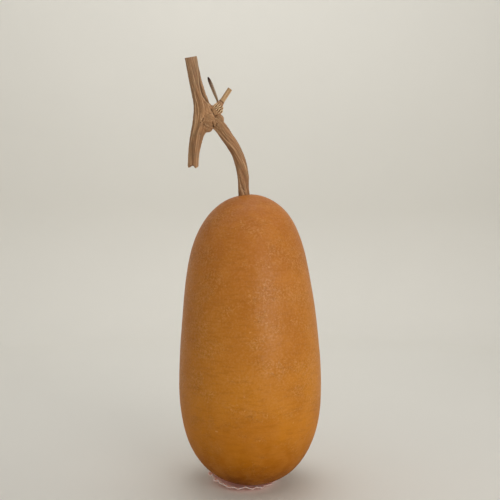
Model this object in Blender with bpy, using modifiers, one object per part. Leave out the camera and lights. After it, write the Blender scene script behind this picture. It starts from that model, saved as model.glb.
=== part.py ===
# Dried bottle gourd: a long woody fruit on its end in a ruffled round of cloth,
# with its curved stalk and the piece of vine that it grew from.
# Metres, +Z up. The origin is on the surface it stands on, under the fruit's axis.
# -Y is the front, and the vine reaches out to -X.

import math

import bmesh
import bpy
from mathutils import Vector

# Fit between touching pieces
GAP = 0.0003
WELD_DISTANCE = 1e-6

# Cloth: a thin round with a ruffled rim, off centre under the fruit
CLOTH_THICKNESS = 0.0010
CLOTH_FLAT_RADIUS = 0.017
CLOTH_RIM_RADIUS = 0.0345
CLOTH_RIM_HEIGHT = 0.0068
CLOTH_SHIFT = Vector((-0.0068, 0.0024, 0.0))
CLOTH_LIFT = Vector((-0.0024, 0.0024, 0.0))
CLOTH_CURVE = 1.5
CLOTH_RINGS = 5
RUFFLES = 21
RUFFLE_HEIGHT = 0.0008
RUFFLE_FLARE = 0.8
RUFFLE_UNEVENNESS = 1.9
POINTS_PER_RUFFLE = 8
FULLEST_RUFFLES = math.radians(200)

# Fruit: two superellipse halves that meet at the middle, fuller in its lower half
FRUIT_RADIUS = 0.0614
FRUIT_TOP = 0.2872
FRUIT_MIDDLE = 0.1116
FRUIT_POLE = 0.0008
FOOT_HEIGHT = CLOTH_THICKNESS + GAP
UPPER_POWER = 4.45
UPPER_ROOT = 1.95
LOWER_POWER = 3.55
LOWER_ROOT = 2.20
FULLNESS = 0.149
FULLEST_HEIGHT = 0.1003
FULLEST_SPREAD = 0.0890
FRUIT_RINGS = 36
FRUIT_SIDES = 48

# How the real fruit differs from a turned one
OVAL = 0.010
OVAL_ANGLE = math.radians(45)
LEAN = -0.008
SWAY = Vector((-0.0016, 0.0016, 0.0))
SWAY_HEIGHT = 0.222
SWAY_SPREAD = 0.048
TOP_TILT = 0.018

# Stalk: where it leaves the fruit, and the dimple round it
STALK_X = -0.0066
STALK_FOOT = 0.2800
STALK_FOOT_RADIUS = 0.0054
SOCKET_FLOOR = STALK_FOOT - GAP
SOCKET_SIDES = 32
DIMPLE_DEPTH = 0.0012
DIMPLE_SPREAD = 0.0095

# Woody branches: (x, y, z, radius) along each one
STALK_ROUTE = (
    (STALK_X, 0.0000, STALK_FOOT, STALK_FOOT_RADIUS),
    (-0.0065, 0.0000, 0.2860, 0.0055),
    (-0.0067, 0.0000, 0.2940, 0.0055),
    (-0.0072, -0.0002, 0.3049, 0.0057),
    (-0.0083, -0.0004, 0.3125, 0.0058),
    (-0.0109, -0.0006, 0.3218, 0.0059),
    (-0.0140, -0.0006, 0.3294, 0.0059),
    (-0.0180, -0.0004, 0.3368, 0.0060),
    (-0.0222, 0.0000, 0.3430, 0.0061),
    (-0.0258, 0.0004, 0.3486, 0.0062),
    (-0.0303, 0.0006, 0.3546, 0.0064),
    (-0.0370, 0.0006, 0.3613, 0.0069),
    (-0.0450, 0.0006, 0.3665, 0.0068),
)
VINE_ROUTE = (
    (-0.0598, 0.0050, 0.4247, 0.0061),
    (-0.0570, 0.0042, 0.4100, 0.0062),
    (-0.0543, 0.0032, 0.3976, 0.0065),
    (-0.0513, 0.0022, 0.3864, 0.0070),
    (-0.0487, 0.0014, 0.3772, 0.0079),
    (-0.0481, 0.0008, 0.3664, 0.0084),
    (-0.0498, 0.0002, 0.3554, 0.0076),
    (-0.0526, -0.0006, 0.3470, 0.0067),
    (-0.0542, -0.0014, 0.3399, 0.0063),
    (-0.0557, -0.0024, 0.3304, 0.0058),
    (-0.0565, -0.0034, 0.3214, 0.0055),
    (-0.0568, -0.0044, 0.3105, 0.0055),
)
STALK_TWIST = math.radians(150)
VINE_TWIST = math.radians(50)
RIDGES = 7
RIDGE_HEIGHT = 0.11
POINTS_PER_RIDGE = 4

# Knot: swellings (x, y, z, radius x, radius y, radius z) where the branches meet
KNOT_SWELLINGS = (
    (-0.0420, 0.0004, 0.3607, 0.0100, 0.0086, 0.0092),
    (-0.0458, -0.0004, 0.3690, 0.0090, 0.0078, 0.0110),
    (-0.0318, 0.0004, 0.3614, 0.0054, 0.0060, 0.0060),
    (-0.0370, 0.0014, 0.3680, 0.0072, 0.0066, 0.0066),
    (-0.0385, 0.0004, 0.3715, 0.0048, 0.0048, 0.0044),
    (-0.0440, 0.0000, 0.3550, 0.0075, 0.0068, 0.0062),
)
SWELLING_SEGMENTS = 20
SWELLING_RINGS = 14
WOOD_VOXEL = 0.0008
WOOD_SMOOTHING = 4
WOOD_KEPT_FACES = 0.18

# Ends of the vine piece: a clean cut above, a torn end below, both hollow.
# The torn edge's heights run round from +X by way of the back.
PITH_RADIUS = 0.0026
PITH_DEPTH = 0.0050
PITH_SIDES = 14
TORN_EDGE = (
    0.3154, 0.3168, 0.3146, 0.3163, 0.3172, 0.3150, 0.3166,
    0.3158, 0.3140, 0.3176, 0.3168, 0.3158, 0.3118, 0.3150,
)
TORN_MIDDLE = 0.3164
TORN_CUTTER_RADIUS = 0.0072
TORN_CUTTER_DEPTH = 0.010

# Scaly bud beside the vine, with the cut leaf stalk that grows out of it
BUD_CENTRE = Vector((-0.0329, -0.0014, 0.3716))
BUD_RADII = Vector((0.0046, 0.0046, 0.0058))
BUD_SEGMENTS = 30
BUD_RINGS = 18
BUD_AXIS = Vector((0.85, -0.35, 0.20)).normalized()
BUD_SCALES = 24
SCALE_SPAN = math.radians(25)
SCALE_HEIGHT = 0.0009
LEAF_ROUTE = (
    (-0.0325, -0.0012, 0.3735, 0.0030),
    (-0.0301, -0.0014, 0.3770, 0.0031),
    (-0.0287, -0.0016, 0.3790, 0.0028),
    (-0.0279, -0.0016, 0.3802, 0.0025),
    (-0.0242, -0.0020, 0.3856, 0.0024),
    (-0.0202, -0.0024, 0.3916, 0.0024),
)
LEAF_SIDES = 14

# Dried tendril: a thin thread that thickens to a blunt tip
TENDRIL_ROUTE = (
    (-0.0326, 0.0016, 0.3765, 0.0008),
    (-0.0331, 0.0020, 0.3819, 0.0009),
    (-0.0345, 0.0024, 0.3849, 0.0010),
    (-0.0362, 0.0028, 0.3890, 0.0011),
    (-0.0381, 0.0031, 0.3939, 0.0013),
    (-0.0401, 0.0033, 0.3990, 0.0014),
    (-0.0415, 0.0034, 0.4024, 0.0012),
    (-0.0423, 0.0034, 0.4042, 0.0007),
)
TENDRIL_HOLE_POINTS = 3
TENDRIL_SIDES = 10

GOLDEN_ANGLE = math.pi * (3 - math.sqrt(5))


def new_collection(name):
    collection = bpy.data.collections.new(name)
    bpy.context.scene.collection.children.link(collection)
    return collection


def finish_material(name, colour, roughness):
    material = bpy.data.materials.new(name)
    material.use_nodes = True
    shader = material.node_tree.nodes["Principled BSDF"]
    shader.inputs["Base Color"].default_value = (*colour, 1.0)
    shader.inputs["Roughness"].default_value = roughness
    shader.inputs["Metallic"].default_value = 0.0
    return material


def add_object(name, mesh, collection, material=None):
    obj = bpy.data.objects.new(name, mesh)
    collection.objects.link(obj)
    if material:
        mesh.materials.clear()
        mesh.materials.append(material)
    return obj


def add_cutter(name, mesh):
    cutter = add_object(name, mesh, cutters)
    cutter.hide_render = True
    cutter.display_type = "WIRE"
    return cutter


def cut(obj, cutter):
    modifier = obj.modifiers.new("cut_" + cutter.name, "BOOLEAN")
    modifier.operation = "DIFFERENCE"
    modifier.object = cutter


def mesh_of(obj):
    """The shape that an object shows with its modifiers, as a mesh with its caps welded."""
    bpy.context.view_layer.update()
    evaluated = obj.evaluated_get(bpy.context.evaluated_depsgraph_get())
    mesh = bpy.data.meshes.new_from_object(evaluated)
    mesh.transform(obj.matrix_world)
    bm = bmesh.new()
    bm.from_mesh(mesh)
    bmesh.ops.remove_doubles(bm, verts=bm.verts, dist=WELD_DISTANCE)
    bmesh.ops.recalc_face_normals(bm, faces=bm.faces)
    bm.to_mesh(mesh)
    bm.free()
    bpy.data.objects.remove(obj)
    return mesh


def joined(meshes):
    """One mesh that holds several closed shapes, which may run into each other."""
    bm = bmesh.new()
    for mesh in meshes:
        bm.from_mesh(mesh)
    whole = bpy.data.meshes.new("joined")
    bm.to_mesh(whole)
    bm.free()
    return whole


def bell(value, centre, spread):
    return math.exp(-(((value - centre) / spread) ** 2))


def fruit_radius(z):
    """Radius of the turned fruit at a height."""
    if z >= FRUIT_MIDDLE:
        share = (z - FRUIT_MIDDLE) / (FRUIT_TOP - FRUIT_MIDDLE)
        power, root = UPPER_POWER, UPPER_ROOT
    else:
        share = (FRUIT_MIDDLE - z) / (FRUIT_MIDDLE - FRUIT_POLE)
        power, root = LOWER_POWER, LOWER_ROOT
    outline = max(0.0, 1 - share**power) ** (1 / root)
    return FRUIT_RADIUS * outline * (1 + FULLNESS * bell(z, FULLEST_HEIGHT, FULLEST_SPREAD))


def fruit_profile():
    """(radius, z) from the top pole to the flat foot, closer together at both ends."""
    points = [(0.0, FRUIT_TOP)]
    for i in range(1, FRUIT_RINGS):
        turn = math.pi * i / FRUIT_RINGS
        z = FOOT_HEIGHT + (FRUIT_TOP - FOOT_HEIGHT) * (1 + math.cos(turn)) / 2
        points.append((fruit_radius(z), z))
    points.append((fruit_radius(FOOT_HEIGHT), FOOT_HEIGHT))
    points.append((0.0, FOOT_HEIGHT))
    return points


def grown(point):
    """Moves a point of the turned fruit to where it grew: slightly oval, leaning, swayed and tilted."""
    x, y, z = point
    swell = 1 + OVAL * math.cos(2 * (math.atan2(y, x) - OVAL_ANGLE))
    lean = LEAN * (z - FULLEST_HEIGHT)
    rise = max(0.0, (z - FRUIT_MIDDLE) / (FRUIT_TOP - FRUIT_MIDDLE))
    dimple = DIMPLE_DEPTH * rise * bell(math.hypot(x + lean - STALK_X, y), 0, DIMPLE_SPREAD)
    lift = TOP_TILT * x * rise**2 - dimple
    sway = SWAY * bell(z, SWAY_HEIGHT, SWAY_SPREAD)
    return Vector((x * swell + lean, y * swell, z + lift)) + sway


def turned(name, profile, sides):
    """A closed shape from a profile of (radius, z) that runs from the top pole to the bottom."""
    mesh = bpy.data.meshes.new(name)
    corners = [(radius, 0.0, z) for radius, z in profile]
    edges = [(i, i + 1) for i in range(len(corners) - 1)]
    mesh.from_pydata(corners, edges, [])
    obj = add_object(name, mesh, parts)
    screw = obj.modifiers.new("turn", "SCREW")
    screw.steps = sides
    screw.render_steps = sides
    screw.use_merge_vertices = True
    screw.merge_threshold = WELD_DISTANCE
    return mesh_of(obj)


def cylinder(radius, bottom, top, sides, x=0.0, y=0.0, fill="NGON"):
    bpy.ops.mesh.primitive_cylinder_add(
        vertices=sides,
        radius=radius,
        depth=top - bottom,
        location=(x, y, (top + bottom) / 2),
        end_fill_type=fill,
    )
    return mesh_of(bpy.context.object)


def without_top_pole(mesh):
    """The faces that meet at the top pole become one, because the socket's wall passes beside it."""
    bm = bmesh.new()
    bm.from_mesh(mesh)
    pole = max(bm.verts, key=lambda vertex: vertex.co.z)
    bmesh.ops.dissolve_verts(bm, verts=[pole])
    bm.to_mesh(mesh)
    bm.free()


def build_fruit():
    mesh = turned("fruit", fruit_profile(), FRUIT_SIDES)
    without_top_pole(mesh)
    for vertex in mesh.vertices:
        vertex.co = grown(vertex.co)
    mesh.shade_smooth()
    skin = finish_material("gourd_skin", (0.40, 0.17, 0.035), 0.38)
    fruit = add_object("gourd_body", mesh, parts, skin)
    socket_radius = STALK_FOOT_RADIUS * (1 + RIDGE_HEIGHT) + GAP
    socket = cylinder(socket_radius, SOCKET_FLOOR, FRUIT_TOP + STALK_FOOT_RADIUS, SOCKET_SIDES, STALK_X)
    cut(fruit, add_cutter("stalk_socket", socket))
    return fruit


def ridged_outline():
    """Closed outline of radius 1 with rounded ridges, which a branch is swept from."""
    curve = bpy.data.curves.new("ridged_outline", "CURVE")
    spline = curve.splines.new("POLY")
    count = RIDGES * POINTS_PER_RIDGE
    spline.points.add(count - 1)
    for i, point in enumerate(spline.points):
        angle = 2 * math.pi * i / count
        radius = 1 + RIDGE_HEIGHT * math.cos(RIDGES * angle)
        point.co = (radius * math.cos(angle), radius * math.sin(angle), 0.0, 1.0)
    spline.use_cyclic_u = True
    outline = bpy.data.objects.new("ridged_outline", curve)
    cutters.objects.link(outline)
    outline.hide_render = True
    return outline


def tube_curve(name, route, twist=0.0):
    """A smooth curve through the route, whose point radius is the branch's own radius."""
    curve = bpy.data.curves.new(name, "CURVE")
    curve.dimensions = "3D"
    curve.resolution_u = 3
    curve.use_fill_caps = True
    spline = curve.splines.new("BEZIER")
    spline.bezier_points.add(len(route) - 1)
    for i, (point, (x, y, z, radius)) in enumerate(zip(spline.bezier_points, route)):
        point.co = (x, y, z)
        point.radius = radius
        point.tilt = twist * i / (len(route) - 1)
        point.handle_left_type = "AUTO"
        point.handle_right_type = "AUTO"
    return curve


def ridged_branch(name, route, twist, outline):
    curve = tube_curve(name, route, twist)
    curve.bevel_mode = "OBJECT"
    curve.bevel_object = outline
    return mesh_of(add_object(name, curve, parts))


def round_tube(name, route, sides, grow=0.0):
    """A plain round tube along a route, thicker by grow all round."""
    curve = tube_curve(name, [(x, y, z, radius + grow) for x, y, z, radius in route])
    curve.bevel_depth = 1.0
    curve.bevel_resolution = sides // 2 - 2
    return mesh_of(add_object(name, curve, parts))


def egg(centre, radii, segments, rings):
    bpy.ops.mesh.primitive_uv_sphere_add(segments=segments, ring_count=rings, radius=1.0, location=centre)
    ball = bpy.context.object
    ball.scale = radii
    return mesh_of(ball)


def pith_bore(name, end, inner):
    """A short bore down the middle of a branch, from just past its end."""
    bore = cylinder(PITH_RADIUS, -PITH_DEPTH, PITH_DEPTH, PITH_SIDES)
    along = Vector(inner) - Vector(end)
    bore.transform(along.to_track_quat("Z", "Y").to_matrix().to_4x4())
    cutter = add_cutter(name, bore)
    cutter.location = end
    return cutter


def torn_end_cutter():
    """A drum below the vine's lower end, whose uneven top leaves the end torn."""
    x, y = VINE_ROUTE[-1][:2]
    bottom = min(TORN_EDGE) - TORN_CUTTER_DEPTH
    mesh = cylinder(TORN_CUTTER_RADIUS, bottom, TORN_MIDDLE, len(TORN_EDGE), x, y, "TRIFAN")
    step = 2 * math.pi / len(TORN_EDGE)
    for vertex in mesh.vertices:
        out = vertex.co - Vector((x, y, TORN_MIDDLE))
        if abs(out.z) < WELD_DISTANCE and out.length > TORN_CUTTER_RADIUS / 2:
            vertex.co.z = TORN_EDGE[round(math.atan2(out.y, out.x) / step) % len(TORN_EDGE)]
    return add_cutter("torn_end", mesh)


def build_wood():
    """Stalk, knot and vine piece, which grew as one."""
    outline = ridged_outline()
    shapes = [
        ridged_branch("stalk", STALK_ROUTE, STALK_TWIST, outline),
        ridged_branch("vine", VINE_ROUTE, VINE_TWIST, outline),
    ]
    for x, y, z, *radii in KNOT_SWELLINGS:
        shapes.append(egg((x, y, z), radii, SWELLING_SEGMENTS, SWELLING_RINGS))
    material = finish_material("dry_vine", (0.34, 0.19, 0.095), 0.75)
    wood = add_object("stalk_and_vine", joined(shapes), parts, material)
    remesh = wood.modifiers.new("grow_together", "REMESH")
    remesh.mode = "VOXEL"
    remesh.voxel_size = WOOD_VOXEL
    remesh.use_smooth_shade = True
    smooth = wood.modifiers.new("soften", "SMOOTH")
    smooth.factor = 0.5
    smooth.iterations = WOOD_SMOOTHING
    lighten = wood.modifiers.new("lighten", "DECIMATE")
    lighten.ratio = WOOD_KEPT_FACES
    lower_end = (*VINE_ROUTE[-1][:2], TORN_MIDDLE)
    cut(wood, torn_end_cutter())
    cut(wood, pith_bore("upper_pith", VINE_ROUTE[0][:3], VINE_ROUTE[1][:3]))
    cut(wood, pith_bore("lower_pith", lower_end, VINE_ROUTE[-3][:3]))
    cut(wood, add_cutter("bud_pocket", bud_mesh(GAP)))
    return wood


def scale_directions():
    """Middles of the bud's scales, in a spiral about its outward axis."""
    turn = BUD_AXIS.to_track_quat("Z", "Y")
    directions = []
    for i in range(BUD_SCALES):
        height = 1 - 2 * (i + 0.5) / BUD_SCALES
        around = math.sqrt(1 - height * height)
        angle = GOLDEN_ANGLE * i
        directions.append(turn @ Vector((around * math.cos(angle), around * math.sin(angle), height)))
    return directions


def bud_mesh(grow=0.0):
    """Egg-shaped bud with scales raised from its surface, larger by grow all round."""
    mesh = egg((0, 0, 0), (1, 1, 1), BUD_SEGMENTS, BUD_RINGS)
    scales = scale_directions()
    for vertex in mesh.vertices:
        out = vertex.co.normalized()
        away = min(out.angle(scale) for scale in scales) / SCALE_SPAN
        raised = SCALE_HEIGHT * max(0.0, 1 - away**2) + grow
        vertex.co = BUD_CENTRE + Vector(o * (radius + raised) for o, radius in zip(out, BUD_RADII))
    return mesh


def build_leaf_stalk():
    """The scaly bud and the cut leaf stalk, fused in one piece."""
    material = finish_material("straw_stalk", (0.50, 0.30, 0.13), 0.7)
    leaf = add_object("leaf_stalk", bud_mesh(), parts, material)
    stub = add_cutter("leaf_stub", round_tube("stub", LEAF_ROUTE, LEAF_SIDES))
    union = leaf.modifiers.new("grow_together", "BOOLEAN")
    union.operation = "UNION"
    union.object = stub
    root, *rest = TENDRIL_ROUTE[:TENDRIL_HOLE_POINTS]
    deeper = (root[0], root[1], root[2] - GAP, root[3])
    cut(leaf, add_cutter("tendril_hole", round_tube("hole", (deeper, *rest), TENDRIL_SIDES, GAP)))
    return leaf


def build_tendril():
    mesh = round_tube("tendril", TENDRIL_ROUTE, TENDRIL_SIDES)
    mesh.shade_smooth()
    return add_object("tendril", mesh, parts, finish_material("dark_tendril", (0.13, 0.07, 0.04), 0.8))


def cloth_point(share, angle):
    """A point of the cloth's upper face: share 0 is the middle and 1 the rim."""
    outward = Vector((math.cos(angle), math.sin(angle), 0.0))
    rim = CLOTH_RIM_RADIUS + CLOTH_SHIFT.dot(outward)
    rim_height = CLOTH_RIM_HEIGHT + CLOTH_LIFT.dot(outward)
    radius = share * rim
    rise = max(0.0, (radius - CLOTH_FLAT_RADIUS) / (rim - CLOTH_FLAT_RADIUS))
    fullness = (5 + 3 * math.cos(angle - FULLEST_RUFFLES)) / 8
    phase = RUFFLES * angle + RUFFLE_UNEVENNESS * math.sin(3 * angle) + math.sin(5 * angle)
    wave = RUFFLE_HEIGHT * fullness * rise * math.cos(phase)
    height = CLOTH_THICKNESS + (rim_height - CLOTH_THICKNESS) * rise**CLOTH_CURVE
    return outward * (radius - RUFFLE_FLARE * wave) + Vector((0.0, 0.0, height + wave))


def build_cloth():
    """A round sheet, thickened downwards, with its ruffles raised by a formula."""
    bm = bmesh.new()
    sides = RUFFLES * POINTS_PER_RUFFLE
    middle = bm.verts.new((0.0, 0.0, CLOTH_THICKNESS))
    flat_share = CLOTH_FLAT_RADIUS / (CLOTH_RIM_RADIUS + CLOTH_SHIFT.length)
    rings = []
    for ring in range(CLOTH_RINGS):
        share = flat_share + (1 - flat_share) * ring / (CLOTH_RINGS - 1)
        corners = [cloth_point(share, 2 * math.pi * i / sides) for i in range(sides)]
        rings.append([bm.verts.new(corner) for corner in corners])
    for i in range(sides):
        after = (i + 1) % sides
        bm.faces.new((middle, rings[0][i], rings[0][after]))
        for inner, outer in zip(rings, rings[1:]):
            bm.faces.new((inner[i], outer[i], outer[after], inner[after]))
    mesh = bpy.data.meshes.new("cloth_pad")
    bm.to_mesh(mesh)
    bm.free()
    mesh.shade_smooth()
    cloth = add_object("cloth_pad", mesh, parts, finish_material("pink_cloth", (0.60, 0.33, 0.32), 0.9))
    thicken = cloth.modifiers.new("thicken", "SOLIDIFY")
    thicken.thickness = CLOTH_THICKNESS
    thicken.offset = -1.0
    return cloth


for old in list(bpy.data.objects):
    bpy.data.objects.remove(old)
parts = new_collection("dried_gourd")
cutters = new_collection("cutters")

build_fruit()
build_wood()
build_leaf_stalk()
build_tendril()
build_cloth()
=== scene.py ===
# Looks of a dried bottle gourd: the fine skin, wood, bud, tendril and cloth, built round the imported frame.
# Metres, +Z up, -Y is the front.

import math

import bmesh
import bpy
import numpy as np
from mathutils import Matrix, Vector, kdtree, noise


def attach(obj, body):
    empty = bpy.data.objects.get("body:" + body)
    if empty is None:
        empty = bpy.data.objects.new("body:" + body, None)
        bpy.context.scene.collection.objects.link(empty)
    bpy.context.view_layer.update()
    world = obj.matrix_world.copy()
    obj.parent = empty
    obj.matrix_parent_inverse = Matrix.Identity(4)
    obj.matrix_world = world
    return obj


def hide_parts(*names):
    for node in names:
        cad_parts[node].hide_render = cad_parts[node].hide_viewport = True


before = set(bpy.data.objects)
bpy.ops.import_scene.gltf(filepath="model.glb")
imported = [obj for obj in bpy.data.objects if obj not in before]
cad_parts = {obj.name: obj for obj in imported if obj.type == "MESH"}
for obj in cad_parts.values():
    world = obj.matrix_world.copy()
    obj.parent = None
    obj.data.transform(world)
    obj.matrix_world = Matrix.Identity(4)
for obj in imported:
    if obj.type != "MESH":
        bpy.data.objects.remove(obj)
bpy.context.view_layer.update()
print("frame loaded:", ", ".join(sorted(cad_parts)))


# Shader maths

def arithmetic(operation, flipped=False):
    def apply(wire, other):
        pair = (other, wire) if flipped else (wire, other)
        return wire.paint.node("ShaderNodeMath", {"operation": operation}, dict(enumerate(pair)))
    return apply


class Wire:  # one output of a shader node, which can be added, multiplied and so on
    def __init__(self, paint, socket):
        self.paint = paint
        self.socket = socket

    __add__ = __radd__ = arithmetic("ADD")
    __sub__ = arithmetic("SUBTRACT")
    __rsub__ = arithmetic("SUBTRACT", flipped=True)
    __mul__ = __rmul__ = arithmetic("MULTIPLY")


class Paint:  # a material whose nodes are added one at a time
    def __init__(self, name, **constants):
        self.material = bpy.data.materials.new(name)
        self.material.use_nodes = True
        self.tree = self.material.node_tree
        self.shader = self.tree.nodes["Principled BSDF"]
        for socket, value in constants.items():
            self.shader.inputs[socket.replace("_", " ")].default_value = value
        self.place = self.node("ShaderNodeTexCoord", out="Object")

    def join(self, value, socket):
        if isinstance(value, Wire):
            self.tree.links.new(value.socket, socket)
        else:
            socket.default_value = value

    def node(self, kind, settings=None, sockets=None, out=0):
        made = self.tree.nodes.new(kind)
        for name, value in (settings or {}).items():
            if name == "stops":
                ramp = made.color_ramp
                for spot, colour in value[len(ramp.elements):]:
                    ramp.elements.new(spot)
                for stop, (spot, colour) in zip(ramp.elements, value):
                    stop.position = spot
                    stop.color = (*colour, 1)
            else:
                setattr(made, name, value)
        for name, value in (sockets or {}).items():
            self.join(value, made.inputs[name])
        return Wire(self, made.outputs[out])

    def stretched(self, scale):
        return self.node("ShaderNodeVectorMath", {"operation": "MULTIPLY"}, {0: self.place, 1: scale})

    def grain(self, scale, detail=3.0, rough=0.5, vector=None, distortion=0.0):
        return self.node("ShaderNodeTexNoise", sockets={
            "Vector": vector or self.place, "Scale": scale, "Detail": detail,
            "Roughness": rough, "Distortion": distortion})

    def between(self, value, none, full):  # 0 at the first value, 1 at the second
        settings = {"interpolation_type": "SMOOTHSTEP"}
        return self.node("ShaderNodeMapRange", settings, {0: value, 1: none, 2: full})

    def ramp(self, value, *stops):
        return self.node("ShaderNodeValToRGB", {"stops": stops}, {0: value})

    def mix(self, share, first, second):
        return self.node("ShaderNodeMix", {"data_type": "RGBA"}, {0: share, 6: first, 7: second}, 2)

    def layers(self, colour, finish, clear=1.0, **masks):
        # lays tints over the colour, each (share, tint) or (share, tint, none, full),
        # where the last two are the mask's values for none and all of it
        for name, mask in masks.items():
            share, tint, *limits = finish[name]
            if limits:
                mask = self.between(mask, *limits)
            colour = self.mix(share * (clear * mask), colour, (*tint, 1))
        return colour

    def height(self):
        return self.node("ShaderNodeSeparateXYZ", sockets={0: self.place}, out="Z")

    def stored(self, name, out="Fac"):
        return self.node("ShaderNodeAttribute", {"attribute_name": name}, out=out)

    def bump(self, height, distance, normal=None):
        sockets = {"Height": height, "Distance": distance, "Strength": 1.0}
        if normal:
            sockets["Normal"] = normal
        return self.node("ShaderNodeBump", sockets=sockets)

    def feed(self, **links):
        for socket, wire in links.items():
            self.join(wire, self.shader.inputs[socket.replace("_", " ")])
        return self.material


# Mesh helpers

def meshFromGrid(name, rings, closeLast=True):
    # rings of points, each closed round, skinned in order; the ends are fans
    count, sides = rings.shape[:2]
    points = [tuple(p) for p in rings.reshape(-1, 3)]
    faces = []
    for r in range(count - 1):
        for s in range(sides):
            after = (s + 1) % sides
            a, b = r * sides, (r + 1) * sides
            faces.append((a + s, a + after, b + after, b + s))
    ends = ((0, True), (count - 1, False)) if closeLast else ((0, True),)
    for ring, turned in ends:
        middle = len(points)
        points.append(tuple(rings[ring].mean(0)))
        for s in range(sides):
            edge = (ring * sides + s, ring * sides + (s + 1) % sides)
            faces.append((middle, *(edge[::-1] if turned else edge)))
    mesh = bpy.data.meshes.new(name)
    mesh.from_pydata(points, [], faces)
    bm = bmesh.new()
    bm.from_mesh(mesh)
    bmesh.ops.recalc_face_normals(bm, faces=bm.faces)
    bm.to_mesh(mesh)
    bm.free()
    return mesh


def addPiece(name, mesh, material=None):
    piece = bpy.data.objects.new(name, mesh)
    bpy.context.scene.collection.objects.link(piece)
    if material:
        mesh.materials.append(material)
    return piece


def applyModifiers(piece):
    # the piece's mesh becomes what its modifiers make of it
    evaluated = piece.evaluated_get(bpy.context.evaluated_depsgraph_get())
    mesh = bpy.data.meshes.new_from_object(evaluated)
    piece.modifiers.clear()
    piece.data = mesh


def grownTogether(name, meshes, voxel, softening):
    # one skin round shapes that run into each other
    bm = bmesh.new()
    for mesh in meshes:
        bm.from_mesh(mesh)
    whole = bpy.data.meshes.new(name)
    bm.to_mesh(whole)
    bm.free()
    piece = addPiece(name, whole)
    remesh = piece.modifiers.new("skin", "REMESH")
    remesh.mode = "VOXEL"
    remesh.voxel_size = voxel
    smooth = piece.modifiers.new("soften", "SMOOTH")
    smooth.iterations = softening
    applyModifiers(piece)
    return piece


def egg(centre, radii, segments=32, rings=20):
    bm = bmesh.new()
    bmesh.ops.create_uvsphere(bm, u_segments=segments, v_segments=rings, radius=1.0)
    for vertex in bm.verts:
        vertex.co = Vector(c + v * r for c, v, r in zip(centre, vertex.co, radii))
    mesh = bpy.data.meshes.new("egg")
    bm.to_mesh(mesh)
    bm.free()
    return mesh


def pointsOf(mesh):
    flat = np.empty(len(mesh.vertices) * 3)
    mesh.vertices.foreach_get("co", flat)
    return flat.reshape(-1, 3)


def normalsOf(mesh):
    flat = np.empty(len(mesh.vertices) * 3)
    mesh.vertex_normals.foreach_get("vector", flat)
    return flat.reshape(-1, 3)


def pushOut(mesh, height):
    # each point moves along its normal
    points = pointsOf(mesh) + normalsOf(mesh) * height[:, None]
    mesh.vertices.foreach_set("co", points.ravel())
    mesh.update()


def store(mesh, **layers):
    for name, values in layers.items():
        kind, field = ("FLOAT_VECTOR", "vector") if values.ndim == 2 else ("FLOAT", "value")
        attribute = mesh.attributes.new(name, kind, "POINT")
        attribute.data.foreach_set(field, values.astype(np.float32).ravel())


def roundedValues(mesh, values, rounds):
    # each value averaged with its neighbours', several times
    ends = np.empty(len(mesh.edges) * 2, int)
    mesh.edges.foreach_get("vertices", ends)
    first, second = ends.reshape(-1, 2).T
    links = np.bincount(ends, minlength=len(values)).astype(float)
    links = links if values.ndim == 1 else links[:, None]
    for _ in range(rounds):
        total = np.zeros_like(values)
        np.add.at(total, first, values[second])
        np.add.at(total, second, values[first])
        values = (values + total) / (links + 1)
    return values


def hollows(mesh, rounds, depth):
    # 0 on ridges, 1 in creases, 0.5 where the surface is even
    points = pointsOf(mesh)
    sunk = ((roundedValues(mesh, points, rounds) - points) * normalsOf(mesh)).sum(1)
    return np.clip(0.5 + 0.5 * sunk / depth, 0, 1)


def smoothStep(low, high, value):
    t = np.clip((value - low) / (high - low), 0, 1)
    return t * t * (3 - 2 * t)


def bell(distance, spread):
    return np.exp(-((distance / spread) ** 2))


def perlin(points, scale, seed):
    # smooth random values from -1 to 1, with features of about the scale's size
    shift = Vector((seed * 7.3, seed * 3.1, seed * 5.7))
    return np.array([noise.noise(Vector(p) / scale + shift) for p in points])


def shadeSmooth(mesh):
    mesh.polygons.foreach_set("use_smooth", [True] * len(mesh.polygons))


# Branch helpers: a route is a list of (x, y, z, radius)

branches = {
    "pace": (0.4, 1.0), "swing": 0.9, "fade": 0.3, "fadeRate": 1.7,
    # how far from a torn end its wall is pulled along, and how much of that the bore's mouth follows
    "tornReach": 0.006, "mouthFollows": 0.6,
}


def followed(route, count):
    # (way along, centre, radius) at even steps on a smooth line through the route
    points = np.array(route, float)
    steps = np.linalg.norm(np.diff(points[:, :3], axis=0), axis=1)
    reach = np.concatenate([[0], np.cumsum(steps)])
    slopes = np.gradient(points, reach, axis=0)
    along = np.linspace(0, reach[-1], count)
    i = np.clip(np.searchsorted(reach, along, side="right") - 1, 0, len(reach) - 2)
    span = (reach[i + 1] - reach[i])[:, None]
    t = (along - reach[i])[:, None] / span
    line = ((2 * t**3 - 3 * t**2 + 1) * points[i] + (t**3 - 2 * t**2 + t) * span * slopes[i]
            + (3 * t**2 - 2 * t**3) * points[i + 1] + (t**3 - t**2) * span * slopes[i + 1])
    return along, line[:, :3], line[:, 3]


def unit(vectors):
    return vectors / np.linalg.norm(vectors, axis=-1, keepdims=True)


def crossAxes(line):
    # the direction of the line and two directions across it, carried along without twist
    ahead = unit(np.gradient(line, axis=0))
    side = np.empty_like(ahead)
    carried = np.array((1.0, 0.0, 0.0))
    for i, direction in enumerate(ahead):
        carried = unit(carried - direction * carried.dot(direction))
        side[i] = carried
    return ahead, side, np.cross(ahead, side)


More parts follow.
